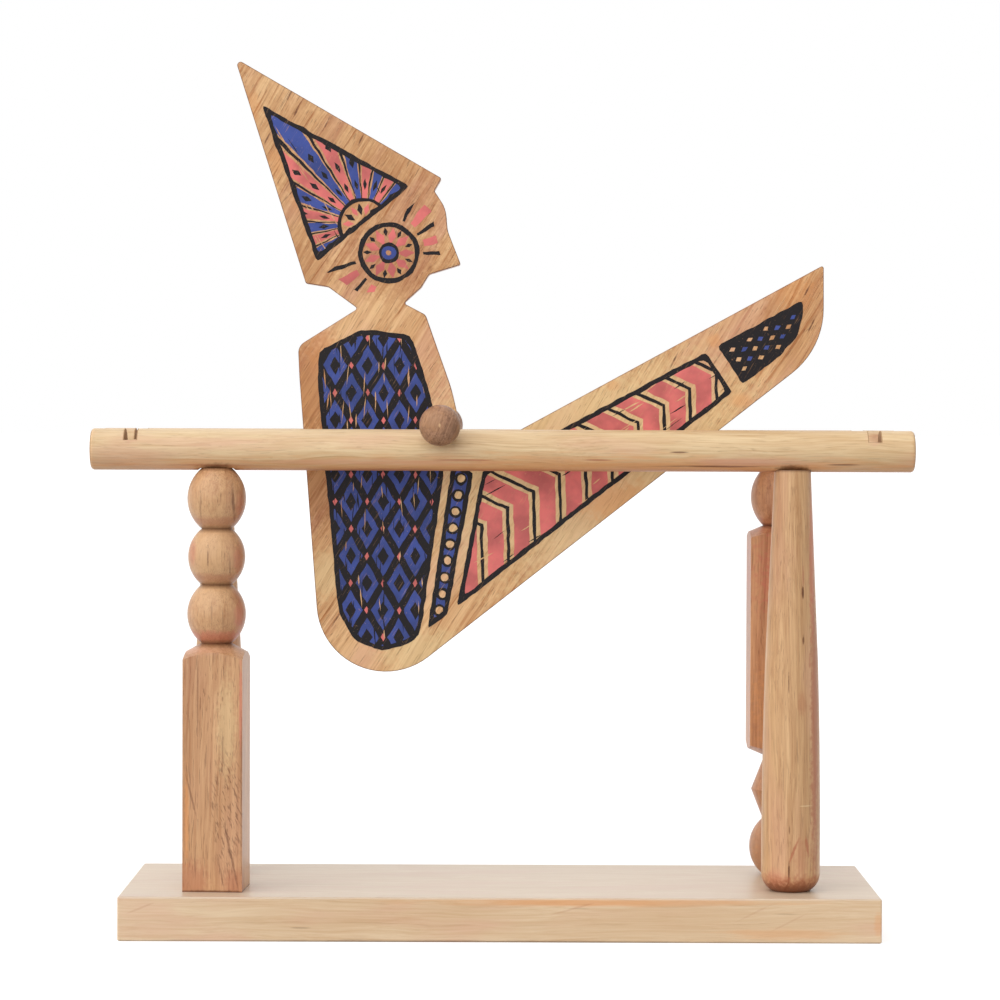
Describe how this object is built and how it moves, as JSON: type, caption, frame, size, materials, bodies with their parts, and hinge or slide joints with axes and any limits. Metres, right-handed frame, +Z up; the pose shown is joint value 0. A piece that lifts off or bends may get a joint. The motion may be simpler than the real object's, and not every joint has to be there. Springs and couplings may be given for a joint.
{
  "type": "wooden rolling acrobat toy",
  "caption": "Flat wooden acrobat on a thin axle with end balls, rolling head over heels along parallel bars on turned posts and a base board.",
  "frame": {"origin": "middle of the base board's underside", "axes": "+Z up, +X to the right along the bars, -Y towards the viewer"},
  "size_m": [0.3286, 0.1, 0.3489],
  "materials": {
    "base_wood": "satin oiled",
    "post_wood": "satin oiled",
    "red_post_wood": "satin oiled",
    "bar_wood": "satin",
    "dowel_wood": "plain",
    "axle_wood": "plain",
    "ball_wood": "satin",
    "board_wood": "plain with a printed ornament",
    "screw_steel": "zinc plated"
  },
  "bodies": {
    "stand": {"base_board": "base_wood", "post_front_left": "post_wood", "screw_front_left": "screw_steel", "dowel_front_left": "dowel_wood", "post_front_right": "post_wood", "screw_front_right": "screw_steel", "dowel_front_right": "dowel_wood", "post_back_left": "post_wood", "screw_back_left": "screw_steel", "dowel_back_left": "dowel_wood", "post_back_right": "red_post_wood", "screw_back_right": "screw_steel", "dowel_back_right": "dowel_wood", "bar_front": "bar_wood", "bar_rear": "bar_wood"},
    "axle": {"axle_rod": "axle_wood"},
    "acrobat": {"acrobat_board": "board_wood", "ball_front": "ball_wood", "ball_rear": "ball_wood"}
  },
  "joints": [
    {"name": "bar_travel", "type": "slide", "parent": "stand", "child": "axle", "axis": [1, 0, 0], "range_m": [-0.1187, 0.167]},
    {"name": "acrobat_turn", "type": "hinge", "parent": "axle", "child": "acrobat", "pos_m": [-0.02415, 0, 0.20265], "axis": [0, 1, 0], "range_deg": [-4240, 5970]}
  ],
  "couplings": [
    {"joint": "bar_travel", "follows": "acrobat_turn", "m_per_rad": 0.0016}
  ]
}
